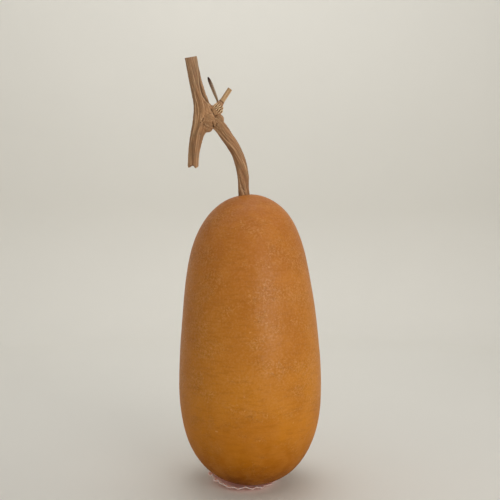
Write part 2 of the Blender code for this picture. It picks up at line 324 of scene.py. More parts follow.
def swept(name, route, count, sides, outline, boreStart=0.0, boreEnd=0.0, boreDepth=0.0, tear=None):
    # a closed branch; outline(around, along) scales its radius, and a bore leaves an end hollow
    along, centre, radius = followed(route, count)
    ahead, side, across = crossAxes(centre)
    around = np.linspace(0, 2 * math.pi, sides, endpoint=False)
    out = np.cos(around)[None, :, None] * side[:, None] + np.sin(around)[None, :, None] * across[:, None]
    scale = radius[:, None] * outline(around[None, :], along[:, None])
    rings = centre[:, None] + out * scale[..., None]
    if tear is not None:
        last = along[-1] - along
        pull = tear(around)[None, :] * bell(last, branches["tornReach"])[:, None]
        rings = rings + ahead[:, None] * pull[..., None]
    parts = [rings]
    if boreStart:
        wall = rings[0].mean(0) + out[0] * boreStart
        parts.insert(0, np.stack([wall + ahead[0] * boreDepth, wall]))
    if boreEnd:
        wall = rings[-1].mean(0) + out[-1] * boreEnd
        mouth = wall
        if tear is not None:
            mouth = wall + ahead[-1] * (branches["mouthFollows"] * tear(around))[:, None]
        parts.append(np.stack([mouth, wall - ahead[-1] * boreDepth]))
    return meshFromGrid(name, np.concatenate(parts))


def waves(seed, counts, drift=60.0):
    # rounded fibres with sharp grooves between them, which wander and fade along a branch
    rng = np.random.default_rng(seed)
    terms = [(n, weight, *rng.uniform(0, 2 * math.pi, 3), rng.uniform(*branches["pace"]))
             for n, weight in counts]
    total = sum(weight for n, weight in counts)

    def height(around, along):
        value = 0
        for n, weight, phase, wander, fade, pace in terms:
            swing = branches["swing"] * np.sin(along * drift * pace + wander)
            fading = np.sin(along * drift * branches["fadeRate"] * pace + fade)
            strength = 1 - branches["fade"] + branches["fade"] * fading
            value = value + weight * strength * np.abs(np.sin((n * around + phase + swing) / 2))
        return value / total
    return height


# Fruit: two superellipse halves, fuller below, swayed and tilted as in the frame

fruit = {
    "radius": 0.0614, "top": 0.2872, "middle": 0.1116, "pole": 0.0008, "foot": 0.0013,
    "upperPower": 4.45, "upperRoot": 1.95, "lowerPower": 3.55, "lowerRoot": 2.2,
    "fullness": 0.149, "fullestHeight": 0.1003, "fullestSpread": 0.089,
    "oval": 0.01, "ovalAngle": math.radians(45), "lean": -0.008,
    "sway": (-0.0016, 0.0016), "swayHeight": 0.222, "swaySpread": 0.048, "topTilt": 0.018,
    "stalkX": -0.0066, "dimpleDepth": 0.0012, "dimpleSpread": 0.0095,
    "rings": 240, "sides": 300, "poleRadius": 0.0004, "profileSteps": 6000,
    "swells": 0.0003, "swellSize": 0.038, "dents": 0.00007, "dentSize": 0.008, "evenBelow": 0.012,
    "puckers": 11, "puckerDepth": 0.00022, "puckerRadius": 0.0085, "puckerSpread": 0.0032, "puckerDrift": 2.2,
    "shoulder": (0.27, 0.28), "stainRadius": 0.0062, "stainSpread": 0.0022,
    "finish": {
        # browner above, golden below, dark underneath: up the fruit, in shares of 0.29 m. The dark base is
        # partly the skin's own deeper colour and partly painted shade; the brighter and darker bands up the
        # side are painted light and shade, and the bluer top is a painted reflection
        "rampPerMetre": 3.4,
        "upwards": (
            (0.0, (0.1, 0.024, 0.0)), (0.055, (0.235, 0.064, 0.0)), (0.13, (0.47, 0.155, 0.004)),
            (0.21, (0.59, 0.211, 0.016)), (0.32, (0.61, 0.227, 0.02)), (0.58, (0.545, 0.195, 0.023)),
            (0.8, (0.545, 0.189, 0.033)), (1.0, (0.51, 0.173, 0.042)),
        ),
        "clouds": (0.38, (0.425, 0.132, 0.009), 0.34, 0.62),
        "patches": (0.36, (0.6, 0.232, 0.036), 0.38, 0.68),
        "paleMottle": (0.4, (0.72, 0.325, 0.088), 0.5, 0.68),
        "darkMottle": (0.28, (0.34, 0.094, 0.005), 0.46, 0.32),
        "bands": (0.2, (0.335, 0.098, 0.003), 0.52, 0.34),
        "squiggles": (0.34, (0.77, 0.386, 0.117)),
        "flecks": (0.35, (0.8, 0.46, 0.175), 0.3, 0.22),
        "stain": (0.45, (0.235, 0.08, 0.014)),
        # heights between which the mottling and the sheen come and go
        "mottleFrom": (0.068, 0.105), "mottleTo": (0.215, 0.265),
        "sheenFrom": (0.02, 0.15), "sheenTo": (0.255, 0.285), "sheen": (0.22, 0.38),
        "clearAnyway": 0.35, "fadedAbove": 0.5, "dullAbove": 0.6, "squiggleEdge": (0.06, 0.015),
        "grainBump": 0.00028, "squiggleBump": 0.00018, "bandBump": 0.00012,
    },
}


def fruitRadius(z):
    above = z >= fruit["middle"]
    reach = np.where(above, fruit["top"] - fruit["middle"], fruit["middle"] - fruit["pole"])
    share = np.abs(z - fruit["middle"]) / reach
    power = np.where(above, fruit["upperPower"], fruit["lowerPower"])
    root = np.where(above, fruit["upperRoot"], fruit["lowerRoot"])
    outline = np.maximum(0, 1 - share**power) ** (1 / root)
    fuller = 1 + fruit["fullness"] * bell(z - fruit["fullestHeight"], fruit["fullestSpread"])
    return fruit["radius"] * outline * fuller


def makeFruit():
    turn = np.linspace(0, math.pi, fruit["profileSteps"])
    z = fruit["foot"] + (fruit["top"] - fruit["foot"]) * (1 - np.cos(turn)) / 2
    radius = fruitRadius(z)
    kept = (z < fruit["middle"]) | (radius > fruit["poleRadius"])
    z, radius = z[kept], radius[kept]
    walked = np.concatenate([[0], np.cumsum(np.hypot(np.diff(z), np.diff(radius)))])
    even = np.linspace(0, walked[-1], fruit["rings"])
    z, radius = np.interp(even, walked, z)[:, None], np.interp(even, walked, radius)[:, None]
    angle = np.linspace(0, 2 * math.pi, fruit["sides"], endpoint=False)[None]
    x, y, z = radius * np.cos(angle), radius * np.sin(angle), z + 0 * angle
    swell = 1 + fruit["oval"] * np.cos(2 * (angle - fruit["ovalAngle"]))
    rise = np.maximum(0, (z - fruit["middle"]) / (fruit["top"] - fruit["middle"]))
    lean = fruit["lean"] * (z - fruit["fullestHeight"])
    fromStalk = np.hypot(x + lean - fruit["stalkX"], y)
    dimple = fruit["dimpleDepth"] * rise * bell(fromStalk, fruit["dimpleSpread"])
    sway = bell(z - fruit["swayHeight"], fruit["swaySpread"])
    lift = fruit["topTilt"] * x * rise**2 - dimple
    grown = np.stack([
        x * swell + lean + fruit["sway"][0] * sway, y * swell + fruit["sway"][1] * sway, z + lift], axis=-1)
    mesh = meshFromGrid("fruitSkin", grown)
    points = pointsOf(mesh)
    offCentre = points[:, :2] - (fruit["stalkX"], 0)
    away, bearing = np.hypot(*offCentre.T), np.arctan2(offCentre[:, 1], offCentre[:, 0])
    nearTop = smoothStep(*fruit["shoulder"], points[:, 2])
    ring = bell(away - fruit["puckerRadius"], fruit["puckerSpread"]) * nearTop
    folds = np.cos(fruit["puckers"] * bearing + fruit["puckerDrift"] * np.sin(bearing * 2 + 1))
    height = fruit["swells"] * perlin(points, fruit["swellSize"], 1)
    height += fruit["dents"] * perlin(points, fruit["dentSize"], 2)
    height *= smoothStep(fruit["foot"], fruit["evenBelow"], points[:, 2])
    height += fruit["puckerDepth"] * folds * ring
    pushOut(mesh, height)
    store(mesh, stain=bell(away - fruit["stainRadius"], fruit["stainSpread"]) * nearTop)
    shadeSmooth(mesh)
    return addPiece("fruitSkin", mesh, skinPaint())


def skinPaint():
    finish = fruit["finish"]
    paint = Paint("driedSkin", Specular_IOR_Level=0.05, Coat_Roughness=0.38)
    height = paint.height()
    squat = paint.stretched((1.0, 1.0, 1.5))
    clouds = paint.grain(24, 2.0)
    patches = paint.grain(80, 3.0, 0.55)
    mottle = paint.grain(520, 4.0, 0.6)
    ripple = paint.grain(210, 2.0, vector=paint.stretched((1.0, 1.0, 1.7)), distortion=1.3)
    bands = paint.grain(1.0, 3.0, 0.6, vector=paint.stretched((75, 75, 400)), distortion=0.5)
    # the fine mottling comes in patches, and is clearest round the middle
    rough = paint.between(paint.grain(34, 2.0, vector=squat), 0.46, 0.6)
    faded = finish["fadedAbove"] * paint.between(height, *finish["mottleTo"])
    middle = paint.between(height, *finish["mottleFrom"]) * (1 - faded)
    anyway = finish["clearAnyway"]
    clear = anyway + (1 - anyway) * middle
    mottled = clear * (anyway + (1 - anyway) * rough)
    # thin pale squiggles where the skin has crazed
    edge = paint.node("ShaderNodeMath", {"operation": "ABSOLUTE"}, {0: ripple - 0.5})
    crazed = rough * paint.between(paint.grain(190, 2.0), 0.42, 0.56)
    squiggles = paint.between(edge, *finish["squiggleEdge"]) * crazed
    spots = paint.node("ShaderNodeTexVoronoi", sockets={"Vector": squat, "Scale": 75.0})
    # colour by height, with painted shade low down, painted light and shade up the side and a painted bluish
    # reflection at the top
    colour = paint.ramp(finish["rampPerMetre"] * height, *finish["upwards"])
    colour = paint.layers(colour, finish, clouds=clouds, patches=patches)
    colour = paint.layers(colour, finish, mottled, paleMottle=mottle, darkMottle=mottle)
    colour = paint.layers(colour, finish, bands=bands, squiggles=clear * squiggles,
                          flecks=spots + 0.4 * paint.grain(420), stain=paint.stored("stain"))
    normal = paint.bump(paint.grain(620, 3.0, 0.55) * (0.4 + 0.6 * rough), finish["grainBump"])
    normal = paint.bump(squiggles, finish["squiggleBump"], normal)
    normal = paint.bump(bands, finish["bandBump"], normal)
    # rubbed to a soft sheen, though dull low down and less so at the top
    dull = finish["dullAbove"] * paint.between(height, *finish["sheenTo"])
    rubbed = paint.between(height, *finish["sheenFrom"]) * (1 - dull)
    least, more = finish["sheen"]
    sheen = rubbed * (least + more * paint.between(mottle, 0.42, 0.62))
    return paint.feed(
        Base_Color=colour, Roughness=0.42 + 0.18 * mottle, Coat_Weight=sheen, Normal=normal)


# Wood: the stalk, the knot and the vine piece

wood = {
    "stalk": (
        (-0.0064, 0.0, 0.279, 0.0062), (-0.0064, 0.0, 0.2852, 0.0059),
        (-0.0067, 0.0, 0.294, 0.0056), (-0.0072, -0.0002, 0.3049, 0.0059),
        (-0.0084, -0.0004, 0.3125, 0.006), (-0.0109, -0.0006, 0.3218, 0.006),
        (-0.014, -0.0006, 0.3294, 0.0059), (-0.018, -0.0004, 0.3368, 0.006),
        (-0.0222, 0.0, 0.343, 0.0061), (-0.0259, 0.0004, 0.3486, 0.0062),
        (-0.0304, 0.0006, 0.3546, 0.0062), (-0.037, 0.0006, 0.3612, 0.0068),
        (-0.045, 0.0006, 0.3665, 0.0068),
    ),
    "vine": (
        (-0.0606, 0.0052, 0.4286, 0.0063), (-0.057, 0.0042, 0.41, 0.0064),
        (-0.0543, 0.0032, 0.3976, 0.0067), (-0.0513, 0.0022, 0.3864, 0.0072),
        (-0.0488, 0.0014, 0.3772, 0.0081), (-0.0482, 0.0008, 0.3664, 0.0087),
        (-0.0501, 0.0002, 0.3554, 0.008), (-0.0527, -0.0006, 0.347, 0.0068),
        (-0.0542, -0.0014, 0.3399, 0.0063), (-0.0557, -0.0024, 0.3304, 0.0058),
        (-0.0565, -0.0034, 0.3214, 0.0055), (-0.0567, -0.004, 0.3155, 0.0055),
    ),
    # where the branches meet: (x, y, z, radius x, radius y, radius z)
    "swellings": (
        (-0.042, 0.0004, 0.3607, 0.01, 0.0086, 0.0092), (-0.0458, -0.0004, 0.369, 0.009, 0.0078, 0.011),
        (-0.0314, 0.0004, 0.3616, 0.0052, 0.006, 0.0056), (-0.037, 0.0014, 0.368, 0.0072, 0.0066, 0.0066),
        (-0.0385, 0.0004, 0.3715, 0.0048, 0.0048, 0.0044), (-0.044, 0.0, 0.355, 0.0075, 0.0068, 0.0062),
    ),
    "stalkTwist": 24.0, "footTwist": 1.1, "footReach": 0.03, "vineTwist": 7.5, "vineStart": 2.0,
    "stalkLength": 0.104, "vineLength": 0.122, "step": 0.0005, "sides": 110,
    # ridges and the fibres on them: (number round the branch, weight)
    "ridges": ((7, 1.0), (5, 0.7)), "ridgeDrift": 25.0,
    "grooveRadius": 0.9, "stalkRidge": 0.17, "vineRidge": 0.16,
    "fibres": ((11, 0.5), (19, 0.8), (29, 1.0), (43, 1.0), (61, 0.7)),
    "fibreHeight": 0.00046, "fibreMiddle": 0.55, "unevenness": 0.00018, "unevenSize": 0.0035,
    "voxel": 0.00037, "softening": 2, "forkBlend": 0.3, "forkRounds": 5,
    "boreRadius": 0.0027, "boreDepth": 0.008,
    "knotCentre": (-0.0415, 0.0, 0.36), "knotSpread": 0.013,
    "knotLumps": 0.0006, "lumpSize": 0.0024,
    "knotWrinkles": 0.00035, "wrinkleSize": 0.0034, "wrinkleWidth": 0.07,
    "sawPlace": (-0.06, 0.005, 0.4254), "sawAcross": (-0.165, -0.295, 0.941),
    # heights of the torn edge, round from +X by way of the front
    "tornEdge": (0.3147, 0.314, 0.3112, 0.314, 0.3146, 0.3142, 0.3126,
                 0.3151, 0.316, 0.3152, 0.3163, 0.3154, 0.3166, 0.316),
    "tornTeeth": 46, "tornRoughness": 0.0007,
    # raised veins and sunk creases, on the front (-1) and the back (1), in millimetres: (height, width, (x,
    # z) points); their colour paints highlight on the veins and shade in the creases
    "strokes": {
        -1: (
            (0.7, 0.6, (-53.7, 423.7), (-52.8, 413.8), (-52, 404.9), (-51, 395.1), (-49.5, 388.1),
             (-47.8, 383), (-45.2, 379.3), (-42.6, 376.7), (-40.5, 374.3)),
            (-0.85, 0.9, (-52.4, 420), (-50.7, 404.9), (-49.6, 395.1), (-48.1, 389), (-46.3, 384.5),
             (-44.1, 380.8), (-41.8, 377.7)),
            (-0.5, 0.5, (-38.6, 371.2), (-37.6, 368.8), (-36.1, 366), (-34.5, 363.8)),
            (0.45, 0.7, (-41.2, 372.8), (-39.7, 369), (-37.3, 365.2)),
            # a wide shallow crease that paints shade under the arch of the fork
            (-0.35, 2, (-47.8, 354.5), (-45.2, 356.8), (-42, 356.4), (-38.5, 354.6)),
            (-1, 0.7, (-34.7, 364), (-34.3, 363.2)),
            (0.4, 0.6, (-56, 402), (-54.8, 388), (-54.3, 379.3), (-54.1, 368.5), (-54.6, 357.6),
             (-56.6, 347), (-59.1, 337), (-59.9, 329.3), (-60.3, 321.7), (-60.7, 315)),
            (-0.38, 1.8, (-56, 344), (-56.6, 335), (-57, 325), (-57.2, 315)),
            (0.4, 0.9, (-50.2, 344.8), (-51.6, 335), (-52.3, 325.1), (-52.8, 312)),
            (0.6, 0.7, (-48.6, 360.6), (-48.4, 360.2)),
            (-0.6, 0.6, (-46.3, 361), (-47.5, 358.4)),
            (-0.7, 0.6, (-49.1, 357.3), (-48.9, 356.9)),
            (0.3, 0.8, (-44.9, 356.5), (-43.2, 355.1), (-41.3, 354.1), (-37.8, 353.2)),
            (-0.4, 0.9, (-45.9, 355.7), (-44.2, 353.7), (-41.8, 352.5), (-38.3, 351.7)),
            (-0.65, 0.7, (-37.2, 357.8), (-36.7, 355.2), (-36.6, 353.7)),
            (0.25, 0.7, (-35.5, 359.6), (-35.5, 354.7)),
            (-0.6, 0.8, (-33.1, 356.7), (-33.7, 354.7)),
            (-0.3, 0.8, (-33.6, 363.4), (-31.8, 362.2)),
            (-0.18, 1.2, (-43.4, 363.2), (-40.5, 361.8)),
            (0.22, 0.4, (-30, 352), (-26.2, 346.6), (-22.6, 341.2), (-19.6, 336.4)),
            (0.22, 0.4, (-27.6, 352.4), (-24, 346.2), (-20.6, 340.2), (-17.6, 334.8)),
            (0.22, 0.4, (-33, 352), (-28.8, 346.2), (-25, 340.6), (-21.6, 335.2)),
            (-0.18, 0.5, (-10.6, 303.6), (-6.2, 300.3)),
            (-0.2, 0.5, (-10.4, 297.5), (-7, 294.8)),
            (-0.28, 0.5, (-8.7, 293.3), (-5.7, 290.8)),
            (0.2, 0.5, (-8.8, 291.8), (-5.2, 289)),
        ),
        1: (
            (0.5, 1, (-56, 415), (-53, 399), (-49, 385), (-44, 374), (-36, 365),
             (-29, 356)),
            (-0.6, 0.9, (-50, 380), (-48, 368), (-51, 356)),
            (-0.6, 0.8, (-42, 365), (-39, 359), (-34, 356)),
        ),
    },
    "strokeFade": (0.05, 0.45), "fullyRaised": 0.0007, "fullySunk": 0.0009,
    # how far round the relief is averaged, in steps of the mesh, and the depth that counts as full
    "hollow": (4, 0.00022), "valley": (19, 0.0008),
    "finish": {
        "fibres": ((0.32, (0.108, 0.046, 0.017)), (0.44, (0.272, 0.132, 0.056)),
                   (0.55, (0.462, 0.244, 0.112)), (0.68, (0.83, 0.54, 0.325))),
        "sawnFace": ((0.35, (0.34, 0.23, 0.14)), (0.65, (0.56, 0.42, 0.29))), "sawnShare": 0.9,
        # fine and broad grain, each (scale, detail, roughness)
        "grains": ((950, 4.0, 0.66), (260, 3.0, 0.66)),
        "red": (0.32, (0.45, 0.21, 0.095), 0.4, 0.66),
        "green": (0.4, (0.25, 0.165, 0.085), 0.46, 0.68),
        "faded": (0.26, (0.5, 0.32, 0.21), 0.38, 0.42),
        # a lighter tint round the knot, painted light that lifts the shade on it
        "knot": (0.45, (0.66, 0.37, 0.175)),
        # relief: broad forms first, then the fibres, then the veins and creases; painted shade darkens the
        # valleys, grooves and sunk creases, and painted highlight lightens the crowns, ridges and raised
        # veins
        "valley": (0.52, (0.13, 0.056, 0.021), 0.55, 0.95),
        "crown": (0.32, (0.68, 0.43, 0.245), 0.46, 0.15),
        "groove": (0.75, (0.075, 0.032, 0.011), 0.54, 0.94),
        "ridge": (0.55, (0.7, 0.46, 0.26), 0.44, 0.1),
        "raised": (0.42, (0.72, 0.46, 0.27)),
        "sunk": (0.7, (0.08, 0.034, 0.012)),
        "bump": 0.00025,
    },
}


def branchField(points, route, steps=420):
    # for each point: way along the route, angle round it, and distance from it in radii
    along, centre, radius = followed(route, steps)
    ahead, side, across = crossAxes(centre)
    tree = kdtree.KDTree(len(centre))
    for i, spot in enumerate(centre):
        tree.insert(spot, i)
    tree.balance()
    nearest = np.array([tree.find(p)[1] for p in points])
    offset = points - centre[nearest]
    forward = (offset * ahead[nearest]).sum(1)
    offset = offset - ahead[nearest] * forward[:, None]
    around = np.arctan2((offset * across[nearest]).sum(1), (offset * side[nearest]).sum(1))
    away = (np.linalg.norm(offset, axis=1) + np.abs(forward)) / radius[nearest]
    return along[nearest] + forward, around, away


def distanceToLine(points, corners):
    # shortest distance in the plane from each point to a line of straight stretches
    nearest = np.full(len(points), np.inf)
    for start, end in zip(np.array(corners)[:-1], np.array(corners)[1:]):
        stretch = end - start
        share = np.clip(((points - start) @ stretch) / (stretch @ stretch), 0, 1)
        nearest = np.minimum(nearest, np.linalg.norm(points - start - share[:, None] * stretch, axis=1))
    return nearest


def grainPlace(along, around, radius=0.006, slowness=0.045):
    # a point that moves slowly along the branch, so that a pattern read there is drawn out
    return np.stack([np.cos(around) * radius, np.sin(around) * radius, along * slowness], axis=1)


def sawAcross(mesh, place, normal):
    # what is past the plane goes, and the end is closed flat
    bm = bmesh.new()
    bm.from_mesh(mesh)
    ends = bm.faces.layers.float.new("sawn")
    everything = bm.verts[:] + bm.edges[:] + bm.faces[:]
    cut = bmesh.ops.bisect_plane(bm, geom=everything, plane_co=place, plane_no=normal, clear_outer=True)
    rim = [part for part in cut["geom_cut"] if isinstance(part, bmesh.types.BMEdge)]
    filled = bmesh.ops.triangle_fill(bm, edges=rim, use_beauty=True, normal=normal)
    for face in filled["geom"]:
        if isinstance(face, bmesh.types.BMFace):
            face.smooth = False
            face[ends] = 1.0
    bm.to_mesh(mesh)
    bm.free()


def makeWood():
    ridges = waves(3, wood["ridges"], wood["ridgeDrift"])
    rng = np.random.default_rng(8)
    edge = np.array(wood["tornEdge"])
    edgeAngles = np.arange(len(edge)) * 2 * math.pi / len(edge)
    teethAngles = np.arange(wood["tornTeeth"]) * 2 * math.pi / wood["tornTeeth"]
    teeth = rng.uniform(-1, 1, wood["tornTeeth"]) * wood["tornRoughness"]
    lowerEnd = wood["vine"][-1][2]

    def tear(around):
        drop = lowerEnd - np.interp(around, edgeAngles, edge, period=2 * math.pi)
        return drop + np.interp(around, teethAngles, teeth, period=2 * math.pi)

    def stalkTwist(along):
        # tighter near the fruit
        return wood["stalkTwist"] * along + wood["footTwist"] * (1 - np.exp(-along / wood["footReach"]))

    def stalkOutline(around, along):
        return wood["grooveRadius"] + wood["stalkRidge"] * ridges(around + stalkTwist(along), along)

    def vineOutline(around, along):
        turned = around + wood["vineTwist"] * along + wood["vineStart"]
        return wood["grooveRadius"] + wood["vineRidge"] * ridges(turned, along)

    stalkSteps = int(wood["stalkLength"] / wood["step"])
    vineSteps = int(wood["vineLength"] / wood["step"])
    shapes = [
        swept("stalk", wood["stalk"], stalkSteps, wood["sides"], stalkOutline),
        swept("vine", wood["vine"], vineSteps, wood["sides"], vineOutline,
              wood["boreRadius"], wood["boreRadius"], wood["boreDepth"], tear),
    ]
    shapes += [egg(swelling[:3], swelling[3:]) for swelling in wood["swellings"]]
    piece = grownTogether("vineWood", shapes, wood["voxel"], wood["softening"])
    mesh = piece.data
    points = pointsOf(mesh)
    stalkAlong, stalkAround, stalkAway = branchField(points, wood["stalk"])
    vineAlong, vineAround, vineAway = branchField(points, wood["vine"])
    stalkShare = smoothStep(-wood["forkBlend"], wood["forkBlend"], vineAway - stalkAway)
    stalkShare = roundedValues(mesh, stalkShare, wood["forkRounds"])
    stalkTurn = stalkAround + stalkTwist(np.maximum(stalkAlong, 0))
    vineTurn = vineAround + wood["vineTwist"] * vineAlong
    stalkFibres = waves(21, wood["fibres"])(stalkTurn, stalkAlong)
    vineFibres = waves(22, wood["fibres"])(vineTurn, vineAlong)
    fibres = stalkShare * stalkFibres + (1 - stalkShare) * vineFibres
    height = wood["fibreHeight"] * (fibres - wood["fibreMiddle"])
    height += wood["unevenness"] * perlin(points, wood["unevenSize"], 5)
    knot = bell(np.linalg.norm(points - wood["knotCentre"], axis=1), wood["knotSpread"])
    height += wood["knotLumps"] * knot * perlin(points, wood["lumpSize"], 11)
    wrinkles = bell(perlin(points, wood["wrinkleSize"], 12), wood["wrinkleWidth"])
    height -= wood["knotWrinkles"] * knot * wrinkles
    facing, backward = points[:, (0, 2)] * 1000, normalsOf(mesh)[:, 1]
    raised, sunk = np.zeros(len(points)), np.zeros(len(points))
    for side, strokes in wood["strokes"].items():
        shown = smoothStep(*wood["strokeFade"], side * backward)
        for lift, width, *corners in strokes:
            stroke = lift / 1000 * shown * bell(distanceToLine(facing, corners), width)
            height += stroke
            raised, sunk = np.maximum(raised, stroke), np.minimum(sunk, stroke)
    pushOut(mesh, height)
    store(mesh, raised=np.clip(raised / wood["fullyRaised"], 0, 1),
          sunk=np.clip(-sunk / wood["fullySunk"], 0, 1), knot=knot, stalkShare=stalkShare,
          hollow=hollows(mesh, *wood["hollow"]), valley=hollows(mesh, *wood["valley"]),
          stalkGrain=grainPlace(stalkAlong, stalkTurn), vineGrain=grainPlace(vineAlong, vineTurn))
    mesh.materials.append(woodPaint())
    shadeSmooth(mesh)
    sawAcross(mesh, wood["sawPlace"], wood["sawAcross"])
    return piece


def woodPaint():
    finish = wood["finish"]
    paint = Paint("dryWood", Specular_IOR_Level=0.35)
    stalkGrain = paint.stored("stalkGrain", "Vector")
    vineGrain = paint.stored("vineGrain", "Vector")
    share = paint.stored("stalkShare")
    grains = []
    for grain in finish["grains"]:
        onVine, onStalk = (
            paint.grain(*grain, vector=place, distortion=0.15) for place in (vineGrain, stalkGrain))
        grains.append(onVine * (1 - share) + onStalk * share)
    fine, broad = grains
    hollow, valley = paint.stored("hollow"), paint.stored("valley")
    # painted shade in the valleys and grooves and painted highlight on the crowns and ridges; the raised and
    # sunk strokes paint highlight and shade too
    colour = paint.layers(
        paint.ramp(fine, *finish["fibres"]), finish,
        red=broad, green=paint.grain(140), faded=paint.height(), knot=paint.stored("knot"),
        valley=valley, crown=valley, groove=hollow, ridge=hollow,
        raised=paint.stored("raised"), sunk=paint.stored("sunk"))
    sawnFace = paint.ramp(paint.grain(900), *finish["sawnFace"])
    colour = paint.mix(finish["sawnShare"] * paint.stored("sawn"), colour, sawnFace)
    return paint.feed(
        Base_Color=colour, Roughness=0.62 + 0.25 * fine, Normal=paint.bump(fine, finish["bump"]))


# Bud with its leaf stalk

bud = {
    "centre": (-0.0329, -0.0016, 0.3713), "radii": (0.0052, 0.0049, 0.006),
    # overlapping scales: the way across them, their spacing and how far they stand out
    "scalesAcross": (0.72, -0.15, -0.68), "scaleSpacing": 0.0018, "scaleHeight": 0.0011,
    "scalyTowards": (0.66, -0.4, 0.64), "scalyFrom": -0.0016, "scalyTo": 0.001,
    "scaleWander": ((0.5, 0.0034, 7), (0.18, 0.0012, 8)), "lipSharpness": 0.8,
    "flakes": 9, "flakeSize": (0.0012, 0.0005, 0.0015), "flakeVary": (0.75, 1.25),
    "flakeAxis": (0.85, -0.35, 0.2), "flakeTips": (0.35, -0.1, 1),
    "flakeSpread": 0.9, "flakeLean": 0.3, "flakeLift": 0.3,
    "crinkle": 0.00034, "crinkleSize": 0.0017, "crinkleMiddle": 0.6,
    "leaf": (
        (-0.0324, -0.0012, 0.3735, 0.0034), (-0.0309, -0.0014, 0.3757, 0.0033),
        (-0.0298, -0.0014, 0.3773, 0.0031), (-0.0287, -0.0016, 0.3789, 0.0028),
        (-0.0277, -0.0016, 0.3803, 0.0025), (-0.0242, -0.002, 0.3855, 0.0024),
        (-0.0201, -0.0024, 0.3916, 0.0023),
    ),
    # ridges of the leaf stalk: (size, number round it, phase, turn per metre)
    "leafRidges": ((0.05, 5, 0.8, 0.0), (0.025, 12, 0.0, 30.0)), "leafSteps": 80, "leafSides": 40,
    # ways along the leaf stalk: the sheath, then the joint where it broke off
    "sheath": (0.0022, 0.004), "jointEdge": (0.0066, 0.0071),
    "joint": 0.0068, "jointWidth": 0.0005, "jointDepth": 0.00015,
    "leafFibres": ((9, 1.0), (16, 0.8), (23, 0.5)), "fibreDrift": 90.0, "fibreHeight": 0.00022,
    "boreRadius": 0.001, "boreDepth": 0.003, "boreFrom": 0.016, "boreShare": 0.6,
    "voxel": 0.00018, "softening": 2, "hollow": (8, 0.00016),
    "finish": {
        # the scales are paler on their crests and lips, painted highlight, and dark in the hollows and gaps
        # between them, painted shade; the straw is darker in its grooves, painted shade
        "scales": ((0.16, (0.86, 0.58, 0.34)), (0.4, (0.6, 0.35, 0.175)),
                   (0.6, (0.4, 0.205, 0.092)), (0.8, (0.075, 0.03, 0.011))),
        "straw": ((0.32, (0.26, 0.14, 0.058)), (0.5, (0.54, 0.32, 0.155)), (0.66, (0.82, 0.56, 0.32))),
        "lips": (0.85, (0.98, 0.72, 0.43), 0.42, 0.85),
        "gaps": (0.8, (0.11, 0.04, 0.01), 0.45, 0.9),
        "sheath": (0.55, (0.43, 0.225, 0.12)),
        "groove": (0.8, (0.15, 0.07, 0.025), 0.55, 0.9),
        # the inside of the leaf stalk's bore is painted dark, painted shade in the hollow
        "bore": (1.0, (0.1, 0.05, 0.022)), "joint": (0.85, (0.12, 0.052, 0.02)), "bump": 0.0001,
    },
}


def flake(middle, outward, tip, size):
    # a small scale that lies on the bud with its tip standing off
    mesh = egg((0, 0, 0), size, 16, 12)
    lean = (tip + outward * bud["flakeLean"]).normalized()
    wide = outward.cross(lean).normalized()
    thick = lean.cross(wide)
    for vertex in mesh.vertices:
        x, y, z = vertex.co
        vertex.co = middle + wide * x + thick * y + lean * (z + size[2] * bud["flakeLift"])
    return mesh


def makeBud():
    rng = np.random.default_rng(5)
    centre, radii, axis = Vector(bud["centre"]), bud["radii"], Vector(bud["flakeAxis"]).normalized()
    turn = axis.to_track_quat("Z", "Y")
    shapes = [egg(centre, radii)]
    golden = math.pi * (3 - math.sqrt(5))
    upward = Vector(bud["flakeTips"])
    for i in range(bud["flakes"]):
        level = 1 - bud["flakeSpread"] * (i + 0.5) / bud["flakes"]
        girth = math.sqrt(1 - level * level)
        outward = turn @ Vector((girth * math.cos(golden * i), girth * math.sin(golden * i), level))
        middle = centre + Vector(o * r for o, r in zip(outward, radii))
        tip = (upward - outward * outward.dot(upward)).normalized()
        size = [v * rng.uniform(*bud["flakeVary"]) for v in bud["flakeSize"]]
        shapes.append(flake(middle, outward, tip, size))

    def leafOutline(around, along):
        return 1 + sum(size * np.cos(number * around + phase + turn * along)
                       for size, number, phase, turn in bud["leafRidges"])

    shapes.append(swept("leafStub", bud["leaf"], bud["leafSteps"], bud["leafSides"], leafOutline,
                        boreEnd=bud["boreRadius"], boreDepth=bud["boreDepth"]))
    piece = grownTogether("budAndLeafStalk", shapes, bud["voxel"], bud["softening"])
    mesh = piece.data
    points = pointsOf(mesh)
    along, around, away = branchField(points, bud["leaf"])
    onStub = smoothStep(*bud["jointEdge"], along)
    sheath = smoothStep(*bud["sheath"], along) * (1 - onStub)
    joint = bell(along - bud["joint"], bud["jointWidth"])
    fibres = waves(31, bud["leafFibres"], bud["fibreDrift"])(around, along)
    # scales lie one over the next, each with a thin raised lip
    fromCentre = points - np.array(bud["centre"])
    across = fromCentre @ np.array(bud["scalesAcross"])
    step = across / bud["scaleSpacing"]
    for reach, size, seed in bud["scaleWander"]:
        step += reach * perlin(points, size, seed)
    lip = 1 - np.abs(2 * (step % 1) - 1) ** bud["lipSharpness"]
    scaly = smoothStep(bud["scalyFrom"], bud["scalyTo"], fromCentre @ np.array(bud["scalyTowards"]))
    scaly *= (1 - sheath) * (1 - onStub)
    folds = 1 - 2 * np.abs(perlin(points, bud["crinkleSize"], 6))
    height = bud["fibreHeight"] * onStub * (fibres - 0.5) - bud["jointDepth"] * joint
    height += bud["scaleHeight"] * (lip - 0.5) * scaly
    height += bud["crinkle"] * (folds - bud["crinkleMiddle"]) * (1 - onStub)
    pushOut(mesh, height)
    # points inside the bore, which the paint darkens as painted shade
    inBore = (away < bud["boreShare"]) & (along > bud["boreFrom"])
    store(mesh, hollow=hollows(mesh, *bud["hollow"]), lips=lip * scaly, gaps=(1 - lip) * scaly,
          sheath=sheath, joint=joint, onStub=onStub, stubGrain=grainPlace(along, around),
          bore=inBore.astype(float))
    mesh.materials.append(budPaint())
    shadeSmooth(mesh)
    return piece


